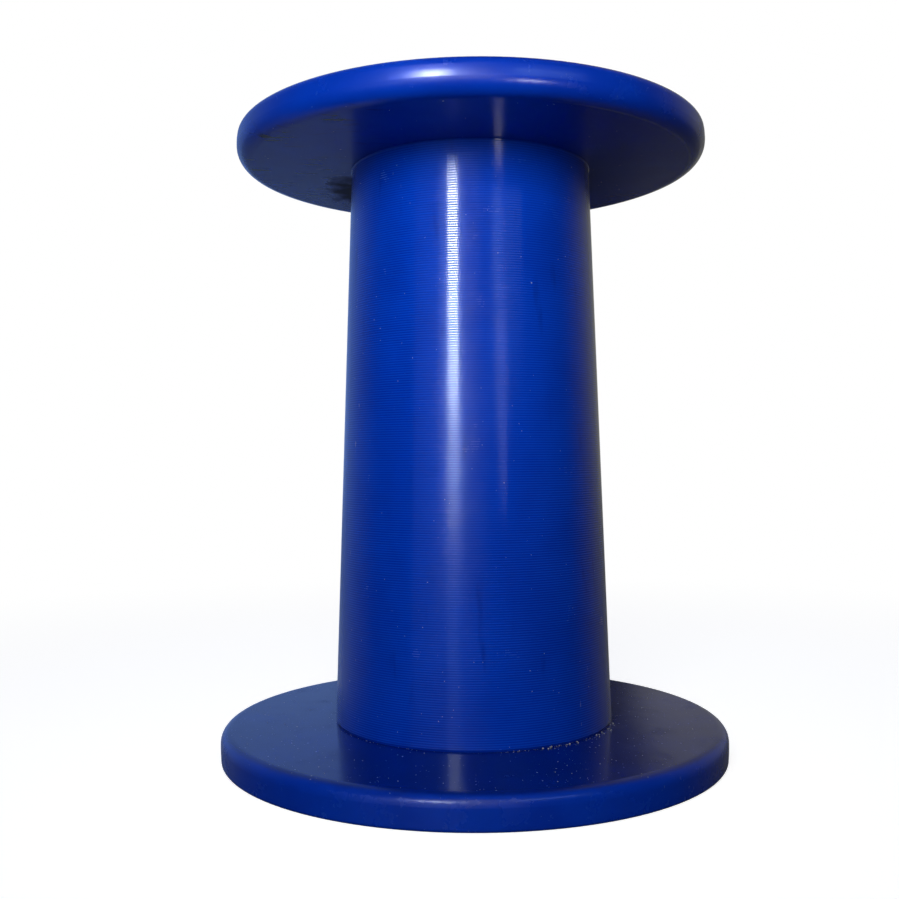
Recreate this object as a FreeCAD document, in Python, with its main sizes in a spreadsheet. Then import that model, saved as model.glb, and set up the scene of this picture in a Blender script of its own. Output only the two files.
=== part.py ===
"""Plastic wire spool with a tapered barrel, for winding and unwinding fine wire.

Three mouldings are bonded into one spool. The barrel is a hollow tube that narrows upwards, turned
with a fine thread-like finish. A flange closes each end of it, and the lower flange is the wider.
Each flange is a cup that opens outwards: a thin web faces the wire, a round-edged rim runs about
it, radial ribs stiffen it, and a hub with a bore carries the spindle. A short spigot behind the
web centres the flange in a counterbore in the barrel's end.

The spool stands on its lower flange. Its axis is Z, and the origin is at the middle of the face
that it stands on. All sizes are in millimetres.
"""

import FreeCAD
import Part
import Sketcher

import math
import os

SIZES = {
    "traverse": 250.0,  # clear width for the wire, from web to web at the barrel
    "flange_thickness": 15.0,  # at the barrel
    "face_taper": 1.0,  # how far each web falls back from the barrel out to the rim
    "lower_flange_diameter": 230.0,
    "lower_wire_side_radius": 5.0,
    "lower_end_side_radius": 1.5,
    "lower_rim_crown": 0.25,  # how far the middle of the rim stands out past its edges
    "upper_flange_diameter": 210.0,
    "upper_wire_side_radius": 6.5,
    "upper_end_side_radius": 4.0,
    "upper_rim_crown": 1.2,
    "rim_wall": 6.0,
    "web_wall": 4.0,
    "mouth_radius": 0.8,  # inner edge of the rim's end face
    "barrel_foot_diameter": 127.0,
    "barrel_head_diameter": 108.0,
    "barrel_wall": 4.5,
    "barrel_end_chamfer": 0.6,
    "spigot_wall": 3.5,
    "spigot_length": 10.0,
    "counterbore_step": 1.0,  # how much wider in radius than the barrel's own bore
    "bond_gap": 0.1,  # for the adhesive, on the radius and at the spigot's end
    "bore_diameter": 32.0,
    "bore_chamfer": 1.0,
    "hub_diameter": 48.0,
    "hub_length": 30.0,
    "rib_count": 8.0,
    "rib_thickness": 3.0,
    "rib_setback": 1.0,  # from the end face, so that the spool stands on its rim and hub
}


def make_sheet(doc):
    """The driving dimensions, one alias to each row."""
    sheet = doc.addObject("Spreadsheet::Sheet", "Sizes")
    for row, (alias, value) in enumerate(SIZES.items(), start=1):
        sheet.set(f"A{row}", alias)
        sheet.set(f"B{row}", str(value))
        sheet.setAlias(f"B{row}", alias)
    doc.recompute()


def origin_feature(body, role):
    """One of the body's own origin planes or axes."""
    return next(item for item in body.Origin.OriginFeatures if item.Role == role)


def bind_corner(sketch, line, direction, expression, point=1):
    """Ties one coordinate of a line's first point, or of an arc's centre, point 3, to the sheet."""
    axis = {"DistanceX": -2, "DistanceY": -1}[direction]
    if expression == "0":
        sketch.addConstraint(Sketcher.Constraint("PointOnObject", line, point, axis))
        return
    place = sketch.getPoint(line, point)
    value = place.x if direction == "DistanceX" else place.y
    index = sketch.addConstraint(Sketcher.Constraint(direction, -1, 1, line, point, value))
    name = f"corner_{line}_{point}_{direction[-1].lower()}"
    sketch.renameConstraint(index, name)
    sketch.setExpression(f"Constraints.{name}", expression)


def outline(body, name, plane, corners, arc=None, arc_centre=None):
    """A closed sketch of straight edges, each corner a pair of expressions.

    The edge that leaves corner number arc, if one is named, is an arc instead, which stands
    outwards about a centre at arc_centre along the first axis. The edges start as a regular
    polygon clear of both axes, and the constraints pull each corner to its place.
    """
    sketch = body.newObject("Sketcher::SketchObject", name)
    sketch.AttachmentSupport = (origin_feature(body, plane), [""])
    sketch.MapMode = "FlatFace"
    count = len(corners)
    middle = SIZES["lower_flange_diameter"]
    reach = middle / 2
    turns = [2 * math.pi * i / count for i in range(count)]
    start = [
        FreeCAD.Vector(middle + reach * math.cos(turn), middle + reach * math.sin(turn), 0)
        for turn in turns
    ]
    edges = [Part.LineSegment(start[i - 1], start[i]) for i in range(count)]
    if arc is not None:
        turn = turns[arc] - math.pi / count
        middle_of_arc = FreeCAD.Vector(
            middle + reach * math.cos(turn), middle + reach * math.sin(turn), 0
        )
        edges[arc] = Part.Arc(start[arc - 1], middle_of_arc, start[arc])
    sketch.addGeometry(edges, False)
    for line in range(count):
        following = (line + 1) % count
        sketch.addConstraint(Sketcher.Constraint("Coincident", line, 2, following, 1))
    for line, (across, up) in enumerate(corners):
        bind_corner(sketch, line, "DistanceX", across)
        bind_corner(sketch, line, "DistanceY", up)
    if arc is not None:
        bind_corner(sketch, arc, "DistanceX", arc_centre, point=3)
    return sketch


def turned(body, name, corners, arc=None, arc_centre=None):
    """A solid of revolution about the body's Z axis, from an outline in its XZ plane."""
    sketch = outline(body, f"{name}_outline", "XZ_Plane", corners, arc, arc_centre)
    revolution = body.newObject("PartDesign::Revolution", name)
    revolution.Profile = (sketch, [""])
    revolution.ReferenceAxis = (sketch, ["V_Axis"])
    revolution.Angle = 360.0
    body.Document.recompute()


def circle_edges(shape, radius, height):
    """Names of the circular edges of that radius at that height on the body's axis."""
    near = 1e-4
    return [
        f"Edge{number}"
        for number, edge in enumerate(shape.Edges, start=1)
        if isinstance(edge.Curve, Part.Circle)
        and abs(edge.Curve.Radius - radius) < near
        and abs(edge.Curve.Center.z - height) < near
    ]


def dress(body, kind, name, radius, height, cell):
    """Rounds or chamfers the circular edges of one radius and height by the size in a cell."""
    base = body.Tip
    edges = circle_edges(base.Shape, radius, height)
    if not edges:
        raise RuntimeError(f"{name}: no circular edge of radius {radius} at height {height}")
    feature = body.newObject(f"PartDesign::{kind}", name)
    feature.Base = (base, edges)
    feature.setExpression("Radius" if kind == "Fillet" else "Size", f"Sizes.{cell}")
    body.Tip = feature
    body.Document.recompute()


def add_ribs(body, flange_radius):
    """Radial ribs in the flange's open side, from the hub to the rim."""
    sketch = outline(
        body,
        "rib_outline",
        "XY_Plane",
        [
            ("(Sizes.bore_diameter + Sizes.hub_diameter) / 4", "-Sizes.rib_thickness / 2"),
            (f"{flange_radius} - Sizes.rim_wall / 2", "-Sizes.rib_thickness / 2"),
            (f"{flange_radius} - Sizes.rim_wall / 2", "Sizes.rib_thickness / 2"),
            ("(Sizes.bore_diameter + Sizes.hub_diameter) / 4", "Sizes.rib_thickness / 2"),
        ],
    )
    sketch.setExpression(".AttachmentOffset.Base.z", "Sizes.rib_setback")
    rib = body.newObject("PartDesign::Pad", "rib")
    rib.Profile = (sketch, [""])
    rib.setExpression(
        "Length", "Sizes.flange_thickness - Sizes.web_wall / 2 - Sizes.face_taper - Sizes.rib_setback"
    )
    body.Document.recompute()
    ribs = body.newObject("PartDesign::PolarPattern", "ribs")
    ribs.Originals = [rib]
    ribs.Axis = (sketch, ["N_Axis"])
    ribs.Angle = 360.0
    ribs.setExpression("Occurrences", "Sizes.rib_count")
    body.Tip = ribs
    body.Document.recompute()


def make_flange(doc, label, end):
    """A flange with its end face at its own z 0 and its wire side up. end is lower or upper."""
    body = doc.addObject("PartDesign::Body", label)
    body.Label = label
    barrel_end = {"lower": "foot", "upper": "head"}[end]
    flange_radius = f"Sizes.{end}_flange_diameter / 2"
    barrel_radius = f"Sizes.barrel_{barrel_end}_diameter / 2"
    spigot_radius = (
        f"{barrel_radius} - Sizes.barrel_wall + Sizes.counterbore_step - Sizes.bond_gap"
    )
    rim_height = "(Sizes.flange_thickness - Sizes.face_taper)"
    crown = f"Sizes.{end}_rim_crown"
    rim_edge = f"{flange_radius} - {crown}"
    rim_corner = 5  # of the outline below, where the crowned rim starts
    turned(
        body,
        "cup",
        [
            ("Sizes.bore_diameter / 2", "0"),
            ("Sizes.hub_diameter / 2", "0"),
            ("Sizes.hub_diameter / 2", "Sizes.flange_thickness - Sizes.web_wall"),
            (
                f"{flange_radius} - Sizes.rim_wall",
                "Sizes.flange_thickness - Sizes.web_wall - Sizes.face_taper",
            ),
            (f"{flange_radius} - Sizes.rim_wall", "0"),
            (rim_edge, "0"),
            (rim_edge, rim_height),
            (barrel_radius, "Sizes.flange_thickness"),
            (spigot_radius, "Sizes.flange_thickness"),
            (spigot_radius, "Sizes.flange_thickness + Sizes.spigot_length"),
            (
                f"{spigot_radius} - Sizes.spigot_wall",
                "Sizes.flange_thickness + Sizes.spigot_length",
            ),
            (f"{spigot_radius} - Sizes.spigot_wall", "Sizes.flange_thickness"),
            ("Sizes.hub_diameter / 2", "Sizes.flange_thickness"),
            ("Sizes.hub_diameter / 2", "Sizes.hub_length"),
            ("Sizes.bore_diameter / 2", "Sizes.hub_length"),
        ],
        rim_corner,
        f"{flange_radius} - ({rim_height} * {rim_height} / 4 + {crown} * {crown}) / (2 * {crown})",
    )
    add_ribs(body, flange_radius)
    radius = SIZES[f"{end}_flange_diameter"] / 2
    edge_radius = radius - SIZES[f"{end}_rim_crown"]
    rim_top = SIZES["flange_thickness"] - SIZES["face_taper"]
    dress(body, "Fillet", "wire_side_round", edge_radius, rim_top, f"{end}_wire_side_radius")
    dress(body, "Fillet", "end_side_round", edge_radius, 0, f"{end}_end_side_radius")
    dress(body, "Fillet", "mouth_round", radius - SIZES["rim_wall"], 0, "mouth_radius")
    bore = SIZES["bore_diameter"] / 2
    dress(body, "Chamfer", "bore_lead", bore, 0, "bore_chamfer")
    dress(body, "Chamfer", "bore_back_lead", bore, SIZES["hub_length"], "bore_chamfer")
    return body


def make_barrel(doc):
    """The tapered tube, with its foot at its own z 0 and a counterbore in each end."""
    body = doc.addObject("PartDesign::Body", "barrel")
    body.Label = "barrel"
    foot = "Sizes.barrel_foot_diameter / 2"
    head = "Sizes.barrel_head_diameter / 2"
    depth = "Sizes.spigot_length + Sizes.bond_gap"
    turned(
        body,
        "tube",
        [
            (f"{foot} - Sizes.barrel_wall + Sizes.counterbore_step", "0"),
            (foot, "0"),
            (head, "Sizes.traverse"),
            (f"{head} - Sizes.barrel_wall + Sizes.counterbore_step", "Sizes.traverse"),
            (f"{head} - Sizes.barrel_wall + Sizes.counterbore_step", f"Sizes.traverse - ({depth})"),
            (f"{head} - Sizes.barrel_wall", f"Sizes.traverse - ({depth})"),
            (f"{foot} - Sizes.barrel_wall", depth),
            (f"{foot} - Sizes.barrel_wall + Sizes.counterbore_step", depth),
        ],
    )
    ends = {"foot": 0, "head": SIZES["traverse"]}
    for end, height in ends.items():
        radius = SIZES[f"barrel_{end}_diameter"] / 2
        dress(body, "Chamfer", f"{end}_chamfer", radius, height, "barrel_end_chamfer")
    return body


def check(doc, bodies):
    """Stops the script if a feature failed or a sub-part isn't one sound solid."""
    for item in doc.Objects:
        if "Invalid" in item.State or "Error" in item.State:
            raise RuntimeError(f"{item.Label} failed: {item.State}")
    for body in bodies:
        shape = body.Shape
        if shape.isNull() or not shape.isValid() or len(shape.Solids) != 1:
            raise RuntimeError(f"{body.Label} isn't one valid solid")


def main():
    doc = FreeCAD.newDocument("wire_spool")
    make_sheet(doc)

    lower_flange = make_flange(doc, "lower_flange", "lower")
    lower_flange.Placement = FreeCAD.Placement()

    barrel = make_barrel(doc)
    barrel.Placement = FreeCAD.Placement()
    barrel.setExpression(".Placement.Base.z", "Sizes.flange_thickness")

    upper_flange = make_flange(doc, "upper_flange", "upper")
    turned_over = FreeCAD.Rotation(FreeCAD.Vector(1, 0, 0), 180)
    upper_flange.Placement = FreeCAD.Placement(FreeCAD.Vector(), turned_over)
    upper_flange.setExpression(".Placement.Base.z", "2 * Sizes.flange_thickness + Sizes.traverse")

    doc.recompute()
    bodies = [lower_flange, barrel, upper_flange]
    check(doc, bodies)
    os.makedirs("parts", exist_ok=True)
    for body in bodies:
        body.Shape.exportStep(f"parts/{body.Label}.step")
        box = body.Shape.optimalBoundingBox()
        print(
            f"{body.Label}: {body.Shape.Volume / 1000:.1f} cm3,"
            f" z {box.ZMin:.2f} to {box.ZMax:.2f}, across {box.XLength:.2f}"
        )


main()
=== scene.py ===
"""The looks of the plastic wire spool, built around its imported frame.

The flanges stay as the frame has them and get their plastic here. The barrel is made again with
its turned rings, each one a shallow groove 1 mm wide, and the bead of adhesive at its head. Grains
of dust lie on the lower flange and in the joint at the barrel's foot. Lengths are in metres, and
the spool's axis is Z.
"""

import math
import random

import bpy
from mathutils import Euler, Matrix, Vector


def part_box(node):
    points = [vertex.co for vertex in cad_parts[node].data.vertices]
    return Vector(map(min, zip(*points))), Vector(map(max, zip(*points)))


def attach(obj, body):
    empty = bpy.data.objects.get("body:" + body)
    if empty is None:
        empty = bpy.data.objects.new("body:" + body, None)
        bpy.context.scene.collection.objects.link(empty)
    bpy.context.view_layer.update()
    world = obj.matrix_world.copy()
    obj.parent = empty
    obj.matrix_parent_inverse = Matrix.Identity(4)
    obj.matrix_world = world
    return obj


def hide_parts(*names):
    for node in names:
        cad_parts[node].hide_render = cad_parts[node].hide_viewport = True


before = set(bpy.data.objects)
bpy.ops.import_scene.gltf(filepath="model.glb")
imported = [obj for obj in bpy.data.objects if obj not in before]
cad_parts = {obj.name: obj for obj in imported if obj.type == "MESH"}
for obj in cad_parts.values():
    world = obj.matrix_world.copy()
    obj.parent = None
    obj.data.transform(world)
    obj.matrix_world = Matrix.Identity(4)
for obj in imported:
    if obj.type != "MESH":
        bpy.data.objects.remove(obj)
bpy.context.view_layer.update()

MM = 0.001
ROOT = "root"

# The frame's own places
LOWER_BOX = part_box("lower_flange")
BARREL_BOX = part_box("barrel")
UPPER_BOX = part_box("upper_flange")
LOWER_RADIUS = LOWER_BOX[1].x
FOOT_Z = BARREL_BOX[0].z
HEAD_Z = BARREL_BOX[1].z
SPOOL_HEIGHT = UPPER_BOX[1].z

# The barrel
FOOT_RADIUS = 63.5 * MM
HEAD_RADIUS = 54.0 * MM
BARREL_WALL = 4.5 * MM
COUNTERBORE = 1.0 * MM
SPIGOT_DEPTH = 10.1 * MM
END_CHAMFER = 0.6 * MM
RING_PITCH = 1.0 * MM
RING_DEPTH = 0.108 * MM
RING_UNEVENNESS = (0.88, 1.06)  # the least and the most that a ring's depth is of that
BEAD_RADIUS = 0.4 * MM  # of the line of adhesive squeezed out under the upper flange
BEAD_STEPS = 5
AROUND = 180  # points in each ring

# The lower flange's wire side falls this much a metre, from the barrel to the rim
TAPER = 1.0 * MM / (LOWER_RADIUS - FOOT_RADIUS)


def mesh_object(name, points, faces, material, smooth=True):
    """A new mesh object in the scene."""
    mesh = bpy.data.meshes.new(name)
    mesh.from_pydata(points, [], faces)
    mesh.materials.append(material)
    mesh.polygons.foreach_set("use_smooth", [smooth] * len(mesh.polygons))
    mesh.update()
    piece = bpy.data.objects.new(name, mesh)
    bpy.context.scene.collection.objects.link(piece)
    return piece


# ---------------------------------------------------------------- materials


class Tree:
    """Short calls for building a node tree."""

    def __init__(self, tree):
        self.tree = tree

    def add(self, kind, inputs=None, **settings):
        node = self.tree.nodes.new(kind)
        for key, value in settings.items():
            setattr(node, key, value)
        for key, value in (inputs or {}).items():
            self.set(node.inputs[key], value)
        return node

    def set(self, socket, value):
        if isinstance(value, bpy.types.NodeSocket):
            self.tree.links.new(value, socket)
        else:
            socket.default_value = value

    def math(self, operation, *values):
        node = self.add("ShaderNodeMath", operation=operation)
        for socket, value in zip(node.inputs, values):
            self.set(socket, value)
        return node.outputs["Value"]

    def product(self, first, *others):
        for other in others:
            first = self.math("MULTIPLY", first, other)
        return first

    def vector(self, operation, first, second):
        node = self.add("ShaderNodeVectorMath", {0: first, 1: second}, operation=operation)
        return node.outputs["Vector"]

    def length(self, vector):
        return self.add("ShaderNodeVectorMath", {0: vector}, operation="LENGTH").outputs["Value"]

    def ramp(self, value, low, high, to_low=0.0, to_high=1.0):
        """value mapped smoothly from low..high to to_low..to_high."""
        node = self.add(
            "ShaderNodeMapRange",
            {"Value": value, "From Min": low, "From Max": high, "To Min": to_low, "To Max": to_high},
            interpolation_type="SMOOTHSTEP",
        )
        return node.outputs["Result"]

    def mix(self, factor, first, second):
        node = self.add("ShaderNodeMix", {"Factor": factor, 6: first, 7: second}, data_type="RGBA")
        return node.outputs[2]


class Nodes(Tree):
    """A new material, its shader, and the patterns laid over it by place on the object."""

    def __init__(self, name):
        self.material = bpy.data.materials.new(name)
        self.material.use_nodes = True
        super().__init__(self.material.node_tree)
        self.shader = self.tree.nodes["Principled BSDF"]
        self.place = self.add("ShaderNodeTexCoord").outputs["Object"]

    def stretch(self, scale, turn=(0.0, 0.0, 0.0)):
        """The object's coordinates, turned and scaled."""
        node = self.add("ShaderNodeMapping", {"Vector": self.place, "Rotation": turn, "Scale": scale})
        return node.outputs["Vector"]

    def noise(self, scale, detail=3.0, place=None, roughness=0.5):
        inputs = {"Vector": place or self.place, "Scale": scale, "Detail": detail, "Roughness": roughness}
        return self.add("ShaderNodeTexNoise", inputs).outputs["Fac"]

    def cells(self, scale, place=None):
        """Voronoi cells: the distance to each cell's point, and two random numbers of the cell's own."""
        node = self.add("ShaderNodeTexVoronoi", {"Vector": place or self.place, "Scale": scale})
        parts = self.add("ShaderNodeSeparateColor", {"Color": node.outputs["Color"]})
        return node.outputs["Distance"], parts.outputs["Red"], parts.outputs["Green"]

    def specks(self, spacing, size, share, place=None):
        """Round specks up to size across, in a share of the cells spacing apart: 0 to 1."""
        distance, pick, width = self.cells(1 / spacing, place)
        radius = self.math("MULTIPLY", self.math("ADD", width, 0.35), size / spacing / 2.7)
        inside = self.math("LESS_THAN", distance, radius)
        return self.math("MULTIPLY", inside, self.math("LESS_THAN", pick, share))

    def bump(self, heights):
        """Chains (strength, distance, height) bumps into the shader's normal."""
        normal = None
        for strength, distance, height in heights:
            node = self.add("ShaderNodeBump", {"Strength": strength, "Distance": distance, "Height": height})
            if normal:
                self.set(node.inputs["Normal"], normal)
            normal = node.outputs["Normal"]
        self.set(self.shader.inputs["Normal"], normal)


BLUE = (0.0004, 0.036, 0.43, 1.0)
DEEP_BLUE = (0.0003, 0.028, 0.37, 1.0)
# Darker blue: painted shade on the lower flange's upward face, and real smears on the barrel
SHADE_AND_SMEAR_BLUE = (0.0006, 0.012, 0.17, 1.0)
# Ring colours on the barrel: a painted highlight on the ridges, painted shade in the grooves
RIDGE_HIGHLIGHT_BLUE = (0.004, 0.075, 0.62, 1.0)
GROOVE_SHADE_BLUE = (0.0002, 0.02, 0.27, 1.0)
# Pale colour of dust, rubs and nicks, also used for the painted highlight line on the upper flange
PALE_MARK_AND_HIGHLIGHT = (0.30, 0.36, 0.48, 1.0)
DARK_SCUFF = (0.006, 0.006, 0.007, 1.0)
OLIVE_DIRT = (0.006, 0.0065, 0.006, 1.0)

# Places on the upper flange's wire side: a smudge against the barrel, and a thin painted highlight round the
# edge
SMUDGE = (-57.5 * MM, 33.0 * MM, HEAD_Z)
HIGHLIGHT_RING = 98.6 * MM


def plastic(name, gloss_low, gloss_high, speck_share):
    """Glossy blue moulded plastic, faintly mottled, with specks of dust stuck to it."""
    nodes = Nodes(name)
    mottle = nodes.ramp(nodes.noise(28.0, 4.0), 0.35, 0.65)
    colour = nodes.mix(mottle, DEEP_BLUE, BLUE)
    fine = nodes.specks(3.2 * MM, 0.42 * MM, speck_share)
    coarse = nodes.specks(12.0 * MM, 0.85 * MM, speck_share)
    specks = nodes.math("MAXIMUM", nodes.math("MULTIPLY", fine, 0.6), coarse)
    haze = nodes.ramp(nodes.noise(60.0, 6.0, roughness=0.65), 0.45, 0.8)
    roughness = nodes.ramp(haze, 0.0, 1.0, gloss_low, gloss_high)
    roughness = nodes.math("ADD", roughness, nodes.math("MULTIPLY", specks, 0.4))
    nodes.set(nodes.shader.inputs["Roughness"], roughness)
    nodes.shader.inputs["IOR"].default_value = 1.5
    return nodes, colour, specks, roughness


def streaks(nodes, scale, turn, low, high):
    """Short thin strokes: noise drawn out along one direction, 0 to 1."""
    return nodes.ramp(nodes.noise(1.0, 2.0, nodes.stretch(scale, turn)), low, high)


def whereabouts(nodes):
    """A point's place to the right, its height, its distance from the axis, and how far it faces up."""
    axes = nodes.add("ShaderNodeSeparateXYZ", {"Vector": nodes.place})
    reach = nodes.length(nodes.vector("MULTIPLY", nodes.place, (1, 1, 0)))
    normal = nodes.add("ShaderNodeNewGeometry").outputs["Normal"]
    up = nodes.add("ShaderNodeSeparateXYZ", {"Vector": normal}).outputs["Z"]
    return axes.outputs["X"], axes.outputs["Z"], reach, up


def dark_scuffs(nodes, across, reach):
    """Strokes in patches at the left, strongest toward the rim."""
    rim_band = nodes.ramp(reach, 78 * MM, 100 * MM)
    left_side = nodes.ramp(across, -20 * MM, -55 * MM)
    strokes = streaks(nodes, (50.0, 260.0, 60.0), (0, 0, 0.45), 0.57, 0.62)
    patches = nodes.ramp(nodes.noise(38.0, 3.0), 0.42, 0.54)
    return nodes.product(strokes, patches, nodes.math("MAXIMUM", rim_band, 0.35), left_side)


def ragged_smudge(nodes):
    """An oval patch around SMUDGE with a ragged edge, longer from front to back."""
    offset = nodes.vector("SUBTRACT", nodes.place, SMUDGE)
    gap = nodes.length(nodes.vector("MULTIPLY", offset, (1, 0.4, 1)))
    ragged = nodes.ramp(nodes.noise(120.0, 4.0), 0.3, 0.7, -3 * MM, 3 * MM)
    return nodes.ramp(nodes.math("ADD", gap, ragged), 14 * MM, 5 * MM, 0.0, 0.88)


def edge_highlight(nodes, across, reach):
    """A thin painted highlight along a ring near the edge, at the right only."""
    gap = nodes.math("ABSOLUTE", nodes.math("SUBTRACT", reach, HIGHLIGHT_RING))
    right_side = nodes.ramp(across, 20 * MM, 60 * MM)
    strength = nodes.ramp(nodes.noise(70.0, 3.0), 0.25, 0.7, 0.1, 0.4)
    return nodes.product(nodes.ramp(gap, 1.1 * MM, 0.1 * MM), right_side, strength)


def flange_material():
    """The flanges' plastic: painted shade and dust on the lower wire side, marks and a thin painted
    highlight on the upper, rubbed rims.
    """
    nodes, colour, specks, roughness = plastic("flange_plastic", 0.17, 0.29, 0.6)
    across, height, reach, up = whereabouts(nodes)
    on_lower = nodes.math("LESS_THAN", height, SPOOL_HEIGHT / 2)
    on_upper = nodes.math("GREATER_THAN", height, SPOOL_HEIGHT / 2)
    lower_side = nodes.product(nodes.ramp(up, 0.7, 0.98), on_lower)
    upper_side = nodes.product(nodes.ramp(up, -0.7, -0.98), on_upper)

    # Painted shade: the lower flange's upward-facing wire side is darkened, unevenly
    painted_shade = nodes.product(lower_side, nodes.ramp(nodes.noise(45.0, 5.0), 0.2, 0.6, 0.7, 1.0))
    scuffs = nodes.product(dark_scuffs(nodes, across, reach), upper_side, 0.95)
    smudge = nodes.product(ragged_smudge(nodes), upper_side)
    colour = nodes.mix(painted_shade, colour, SHADE_AND_SMEAR_BLUE)
    colour = nodes.mix(scuffs, colour, DARK_SCUFF)
    colour = nodes.mix(smudge, colour, OLIVE_DIRT)
    rim_wear = nodes.ramp(nodes.math("ABSOLUTE", up), 0.8, 0.45, 0.0, 0.08)
    roughness = nodes.math("ADD", roughness, rim_wear)
    roughness = nodes.math("ADD", roughness, nodes.product(smudge, 0.5))
    nodes.set(nodes.shader.inputs["Roughness"], roughness)

    dusting = nodes.product(nodes.specks(2.6 * MM, 0.75 * MM, 0.45), lower_side, 0.8)
    specks = nodes.math("MAXIMUM", specks, dusting)
    rub = streaks(nodes, (900.0, 900.0, 330.0), (0.3, 0.2, 0.5), 0.72, 0.77)
    rub = nodes.product(rub, nodes.ramp(nodes.noise(30.0, 2.0), 0.5, 0.62), 0.4)
    marks = nodes.math("MAXIMUM", rub, specks)
    # The upper flange's painted highlight line is laid in with the pale marks
    marks = nodes.math("MAXIMUM", marks, nodes.product(edge_highlight(nodes, across, reach), on_upper))
    colour = nodes.mix(nodes.product(marks, 0.7), colour, PALE_MARK_AND_HIGHLIGHT)
    nodes.set(nodes.shader.inputs["Base Color"], colour)
    swell = nodes.noise(90.0, 2.0)
    grit = nodes.noise(1400.0, 2.0)
    nodes.bump([(0.25, 0.25 * MM, swell), (0.1, 0.03 * MM, grit), (0.6, 0.2 * MM, specks)])
    return nodes.material


def barrel_material():
    """The barrel's plastic: painted shade in the grooves, a painted highlight on the rubbed ridges, nicks
    across them and smears down its sides.
    """
    nodes, colour, specks, roughness = plastic("barrel_plastic", 0.07, 0.13, 0.6)
    height = nodes.add("ShaderNodeSeparateXYZ", {"Vector": nodes.place}).outputs["Z"]
    ring = nodes.math("FRACT", nodes.math("DIVIDE", nodes.math("SUBTRACT", height, FOOT_Z), RING_PITCH))
    from_groove = nodes.math("ABSOLUTE", nodes.math("SUBTRACT", ring, 0.5))
    groove = nodes.ramp(from_groove, 0.2, 0.05)
    ridge = nodes.ramp(from_groove, 0.22, 0.42)
    # Painted shade darkens each groove and a painted highlight lightens each ridge; the ridges are also
    # rougher
    colour = nodes.mix(nodes.product(groove, 0.45), colour, GROOVE_SHADE_BLUE)
    colour = nodes.mix(nodes.product(ridge, 0.28), colour, RIDGE_HIGHLIGHT_BLUE)
    roughness = nodes.math("ADD", roughness, nodes.product(ridge, 0.16))
    nodes.set(nodes.shader.inputs["Roughness"], roughness)

    nicks = streaks(nodes, (420.0, 420.0, 90.0), (0.25, 0.15, 0.0), 0.74, 0.78)
    nicks = nodes.product(nicks, nodes.ramp(nodes.noise(26.0, 2.0), 0.52, 0.66), 0.6)
    marks = nodes.math("MAXIMUM", nicks, specks)
    smears = streaks(nodes, (150.0, 150.0, 28.0), (0, 0, 0), 0.62, 0.8)
    colour = nodes.mix(nodes.product(smears, 0.45), colour, SHADE_AND_SMEAR_BLUE)
    colour = nodes.mix(nodes.product(marks, 0.7), colour, PALE_MARK_AND_HIGHLIGHT)
    nodes.set(nodes.shader.inputs["Base Color"], colour)
    nodes.bump([(0.5, 0.15 * MM, specks)])
    return nodes.material


def dust_material():
    """Matt grey dust, some grains paler than others."""
    nodes = Nodes("dust")
    tone = nodes.ramp(nodes.noise(700.0, 1.0), 0.35, 0.65)
    colour = nodes.mix(tone, (0.08, 0.09, 0.11, 1), (0.36, 0.36, 0.37, 1))
    nodes.set(nodes.shader.inputs["Base Color"], colour)
    nodes.shader.inputs["Roughness"].default_value = 0.9
    return nodes.material


# ------------------------------------------------------------------- barrel


def barrel_profile(chance):
    """The outer wall's rings as (radius, height, is a ridge), from the foot up to the head."""
    length = HEAD_Z - FOOT_Z
    slope = (HEAD_RADIUS - FOOT_RADIUS) / length
    count = round(length / RING_PITCH) - 2
    rings = [(FOOT_RADIUS - END_CHAMFER, FOOT_Z, True)]
    for ring in range(count + 1):
        rise = (ring + 1) * RING_PITCH
        radius = FOOT_RADIUS + slope * rise
        rings.append((radius, FOOT_Z + rise, True))
        if ring < count:
            depth = RING_DEPTH * chance.uniform(*RING_UNEVENNESS)
            middle = rise + RING_PITCH / 2
            rings.append((FOOT_RADIUS + slope * middle - depth, FOOT_Z + middle, False))
    for step in range(BEAD_STEPS + 1):
        turn = math.pi * (step / BEAD_STEPS - 0.5)
        radius = HEAD_RADIUS + BEAD_RADIUS * math.cos(turn)
        rings.append((radius, HEAD_Z - BEAD_RADIUS + BEAD_RADIUS * math.sin(turn), step == 0))
    return rings


def make_barrel(material):
    """The barrel as one closed skin: up its ringed outer wall and down inside, with crisp ridges."""
    chance = random.Random(7)
    outer = barrel_profile(chance)
    inner_foot = FOOT_RADIUS - BARREL_WALL
    inner_head = HEAD_RADIUS - BARREL_WALL
    inner = [
        (inner_head + COUNTERBORE, HEAD_Z, True),
        (inner_head + COUNTERBORE, HEAD_Z - SPIGOT_DEPTH, True),
        (inner_head, HEAD_Z - SPIGOT_DEPTH, True),
        (inner_foot, FOOT_Z + SPIGOT_DEPTH, True),
        (inner_foot + COUNTERBORE, FOOT_Z + SPIGOT_DEPTH, True),
        (inner_foot + COUNTERBORE, FOOT_Z, True),
    ]
    rings = outer + inner
    turns = [2 * math.pi * step / AROUND for step in range(AROUND)]
    points = [
        (radius * math.cos(turn), radius * math.sin(turn), height)
        for radius, height, _ in rings
        for turn in turns
    ]
    faces = []
    for ring in range(len(rings)):
        low = ring * AROUND
        high = (ring + 1) % len(rings) * AROUND
        for step in range(AROUND):
            after = (step + 1) % AROUND
            faces.append((low + step, low + after, high + after, high + step))
    piece = mesh_object("turned_barrel", points, faces, material)
    ridges = [ridge for _, _, ridge in rings]
    sharp = piece.data.attributes.new("sharp_edge", "BOOLEAN", "EDGE")
    flags = [
        ridges[edge.vertices[0] // AROUND] and edge.vertices[0] // AROUND == edge.vertices[1] // AROUND
        for edge in piece.data.edges
    ]
    sharp.data.foreach_set("value", flags)
    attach(piece, ROOT)
    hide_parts("barrel")


# --------------------------------------------------------------------- dust


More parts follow.
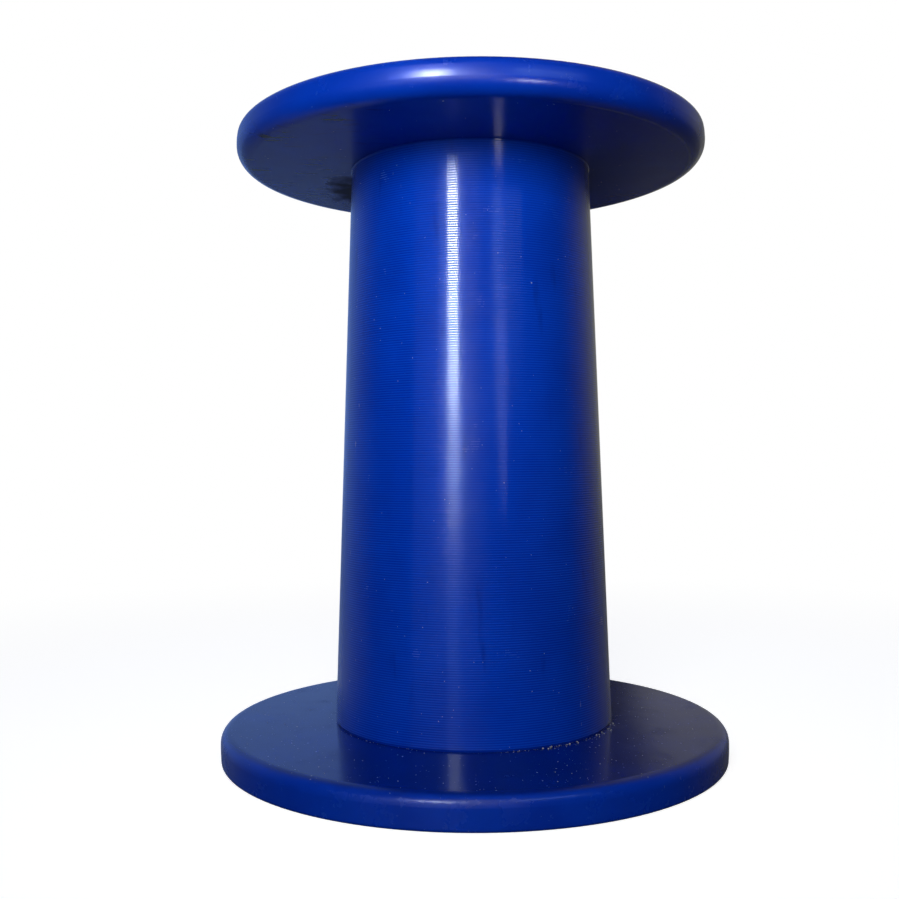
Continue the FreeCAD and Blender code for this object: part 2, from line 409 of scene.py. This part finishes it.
def grain(chance, centre, size):
    """Points and faces of one small lumpy grain: an octahedron pulled out of true."""
    corners = [(1, 0, 0), (-1, 0, 0), (0, 1, 0), (0, -1, 0), (0, 0, 1), (0, 0, -1)]
    turn = Euler([chance.uniform(0, math.tau) for _ in range(3)]).to_matrix()
    reach = [size / 2 * chance.uniform(0.45, 1.0) for _ in corners]
    points = [Vector(centre) + turn @ (Vector(corner) * length) for corner, length in zip(corners, reach)]
    faces = [(0, 2, 4), (2, 1, 4), (1, 3, 4), (3, 0, 4), (2, 0, 5), (1, 2, 5), (3, 1, 5), (0, 3, 5)]
    return points, faces


# How many grains lie heaped in the joint, all round it, and on the flange, and how far out these reach
HEAPED, SCATTERED, STREWN = 110, 160, 420
STREWN_REACH = 44 * MM


def dust_spots(chance):
    """Each grain's direction, its distance out from the barrel, and its size."""
    spots = []
    for _ in range(HEAPED):
        turn = math.radians(chance.gauss(-50.0, 20.0))
        out = abs(chance.gauss(0.0, 1.3)) * MM
        spots.append((turn, out, (0.15 + 1.1 * chance.random() ** 3) * MM))
    for _ in range(SCATTERED):
        turn = chance.uniform(0, math.tau)
        out = abs(chance.gauss(0.0, 1.2)) * MM
        spots.append((turn, out, chance.uniform(0.12, 0.4) * MM))
    for _ in range(STREWN):
        turn = chance.uniform(0, math.tau)
        out = math.sqrt(chance.random()) * STREWN_REACH + 2 * MM
        spots.append((turn, out, (0.15 + 0.4 * chance.random() ** 2) * MM))
    return spots


def make_dust(material):
    """Grains in the joint at the barrel's foot, thickest at the front right, and on the lower flange."""
    chance = random.Random(21)
    points, faces = [], []
    for turn, out, size in dust_spots(chance):
        radius = FOOT_RADIUS + 0.1 * MM + size / 3 + out
        height = FOOT_Z - (radius - FOOT_RADIUS) * TAPER + size * 0.2
        centre = (radius * math.cos(turn), radius * math.sin(turn), height)
        new_points, new_faces = grain(chance, centre, size)
        faces += [tuple(len(points) + corner for corner in face) for face in new_faces]
        points += new_points
    piece = mesh_object("dust_grains", points, faces, material, smooth=False)
    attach(piece, ROOT)


# ------------------------------------------------------------ stage and light

AIM = Vector((0, 0, SPOOL_HEIGHT / 2))


def toward(azimuth, elevation, distance):
    """A place around the spool. Azimuth 0 is the camera's side and grows to its right."""
    turn, lift = math.radians(azimuth), math.radians(elevation)
    return AIM + distance * Vector(
        (math.sin(turn) * math.cos(lift), -math.cos(turn) * math.cos(lift), math.sin(lift))
    )


def add_lamp(
    name, azimuth, elevation, distance, size, radiance, colour,
    gleams=True, lights=True, spread=180.0, aim=AIM,
):
    """A rectangular lamp facing aim, its strength given as the brightness of its face seen head on.

    gleams says whether it shows in reflections, and lights whether it lights matt surfaces. spread
    is the full angle its light leaves in, fading from the middle outward when below 180 degrees.
    """
    light = bpy.data.lights.new(name, "AREA")
    light.shape = "RECTANGLE"
    light.size, light.size_y = size
    light.energy = radiance * size[0] * size[1] * math.pi
    if spread < 180.0:
        light.spread = math.radians(spread)
        light.energy *= 1 - light.spread / 2 / math.tan(light.spread / 2)
    light.color = colour
    lamp = bpy.data.objects.new(name, light)
    lamp.location = toward(azimuth, elevation, distance)
    lamp.rotation_euler = (aim - lamp.location).to_track_quat("-Z", "Y").to_euler()
    lamp.visible_glossy = gleams
    lamp.visible_diffuse = lights
    bpy.context.scene.collection.objects.link(lamp)


def add_floor():
    """Pale where the camera sees it, with the spool's shadow, and elsewhere a satin table."""
    half = 4.0
    corners = [(-half, -half, 0), (half, -half, 0), (half, half, 0), (-half, half, 0)]
    nodes = Nodes("floor")
    axes = nodes.add("ShaderNodeSeparateXYZ", {"Vector": nodes.place})
    side, behind = axes.outputs["X"], axes.outputs["Y"]
    table = nodes.mix(nodes.ramp(side, -0.2, 0.2), (0.75, 0.83, 0.9, 1), (0.19, 0.19, 0.22, 1))
    table = nodes.mix(nodes.ramp(behind, -0.1, 0.1), (0.03, 0.03, 0.035, 1), table)
    nodes.set(nodes.shader.inputs["Base Color"], table)
    nodes.shader.inputs["Roughness"].default_value = 0.2
    pale = nodes.add("ShaderNodeBsdfDiffuse", {"Color": (0.5, 0.5, 0.5, 1)})
    glow = nodes.add("ShaderNodeEmission", {"Strength": 0.86})
    near = nodes.add("ShaderNodeAddShader", {0: pale.outputs[0], 1: glow.outputs[0]})
    white = nodes.add("ShaderNodeEmission", {"Strength": 1.0})
    fade = nodes.ramp(nodes.length(nodes.place), 0.2, 0.75)
    seen = nodes.add("ShaderNodeMixShader", {0: fade, 1: near.outputs[0], 2: white.outputs[0]})
    camera_ray = nodes.add("ShaderNodeLightPath").outputs["Is Camera Ray"]
    inputs = {0: camera_ray, 1: nodes.shader.outputs[0], 2: seen.outputs[0]}
    pick = nodes.add("ShaderNodeMixShader", inputs)
    nodes.set(nodes.tree.nodes["Material Output"].inputs["Surface"], pick.outputs[0])
    floor = mesh_object("floor", corners, [(0, 1, 2, 3)], nodes.material, smooth=False)
    floor.location.z = LOWER_BOX[0].z - 0.05 * MM


def set_world():
    """White where the camera sees it, and elsewhere a dim room that brightens behind the spool."""
    world = bpy.data.worlds.new("room")
    world.use_nodes = True
    bpy.context.scene.world = world
    nodes = Tree(world.node_tree)
    nodes.tree.nodes.clear()
    place = nodes.add("ShaderNodeTexCoord").outputs["Generated"]
    axes = nodes.add("ShaderNodeSeparateXYZ", {"Vector": place})
    across, behind, height = (axes.outputs[axis] for axis in "XYZ")
    cool, warm = (0.18, 0.31, 0.68, 1.0), (0.27, 0.27, 0.25, 1.0)
    tint = nodes.mix(nodes.ramp(across, -0.1, 0.1), cool, warm)
    lean = nodes.math("SUBTRACT", across, nodes.product(height, 0.12))
    column = nodes.ramp(nodes.math("ABSOLUTE", lean), 0.12, 0.15, 0.12, 1.0)
    level = nodes.product(nodes.ramp(behind, -0.1, 0.8, 0.03, 1.0), column)
    dim = nodes.add("ShaderNodeBackground", {"Color": tint, "Strength": level})
    white = nodes.add("ShaderNodeBackground", {"Color": (1, 1, 1, 1), "Strength": 1.0})
    camera_ray = nodes.add("ShaderNodeLightPath").outputs["Is Camera Ray"]
    inputs = {0: camera_ray, 1: dim.outputs[0], 2: white.outputs[0]}
    pick = nodes.add("ShaderNodeMixShader", inputs)
    output = nodes.add("ShaderNodeOutputWorld")
    nodes.set(output.inputs["Surface"], pick.outputs[0])


def add_lamps():
    """Unseen lamps that light the plastic, and seen ones that only make its highlights."""
    white, daylight, blue = (1.0, 1.0, 1.0), (0.88, 0.98, 1.0), (0.42, 0.68, 1.0)
    upper_half = Vector((0.0, 0.0, 195.0)) * MM
    upper_rim = Vector((24.0, -100.0, 262.0)) * MM
    window = {"lights": False, "spread": 40.0, "aim": upper_half}
    below = {"lights": False, "spread": 14.0, "aim": upper_rim}

    add_lamp("key", -6.0, 24.5, 0.5, (0.2, 0.15), 20.5, white, gleams=False, spread=80.0, aim=upper_half)
    add_lamp("front_fill", -10.0, 3.0, 0.75, (0.5, 0.45), 2.5, white, gleams=False)
    add_lamp("overhead", 0.0, 75.0, 1.3, (1.4, 1.0), 0.3, white, gleams=False)

    add_lamp("window_core", -15.5, 24.5, 0.72, (0.1, 0.17), 72.0, daylight, **window)
    add_lamp("window", -15.5, 24.5, 0.73, (0.145, 0.2), 9.0, daylight, **window)
    add_lamp("window_edge", -15.5, 24.5, 0.74, (0.19, 0.23), 3.0, blue, **window)
    add_lamp("window_glow", -16.5, 24.5, 0.75, (0.28, 0.28), 2.2, blue, lights=False)
    add_lamp("window_tail", -15.5, -2.0, 0.74, (0.11, 0.04), 4.0, blue, lights=False)
    add_lamp("soft_wall", -37.0, 9.0, 0.8, (0.36, 0.5), 0.36, blue, lights=False)
    add_lamp("second_lamp", 33.0, 31.0, 0.75, (0.34, 0.09), 2.6, blue, lights=False)
    add_lamp("second_lamp_core", 24.5, 31.0, 0.74, (0.07, 0.1), 3.2, blue, lights=False)
    add_lamp("low_lamp", 25.0, -2.0, 0.7, (0.085, 0.19), 42.0, white, **below)
    add_lamp("low_glow", 25.0, -1.5, 0.72, (0.22, 0.16), 4.0, daylight, **below)


def add_camera():
    """The photo's viewpoint: close, a little below the spool's middle."""
    data = bpy.data.cameras.new("camera")
    data.sensor_width = 36.0
    data.lens = 42.216  # mm
    data.shift_y = 0.0411
    data.clip_start = 0.01
    camera = bpy.data.objects.new("camera", data)
    place = (0, -487.82 * MM, 133.44 * MM)
    turn, dip, tilt = 0.0213, 0.0247, -0.0071  # radians
    camera.matrix_world = (
        Matrix.Translation(place)
        @ Matrix.Rotation(turn, 4, "Z")
        @ Matrix.Rotation(math.pi / 2 - dip, 4, "X")
        @ Matrix.Rotation(tilt, 4, "Z")
    )
    bpy.context.scene.collection.objects.link(camera)
    bpy.context.scene.camera = camera


def paint_flanges(material):
    """Both flanges keep their shapes and take the material."""
    for node in ("lower_flange", "upper_flange"):
        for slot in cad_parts[node].material_slots:
            slot.material = material


def main():
    bpy.context.scene.view_settings.view_transform = "Standard"
    add_camera()
    add_floor()
    set_world()
    add_lamps()
    paint_flanges(flange_material())
    make_barrel(barrel_material())
    make_dust(dust_material())


main()
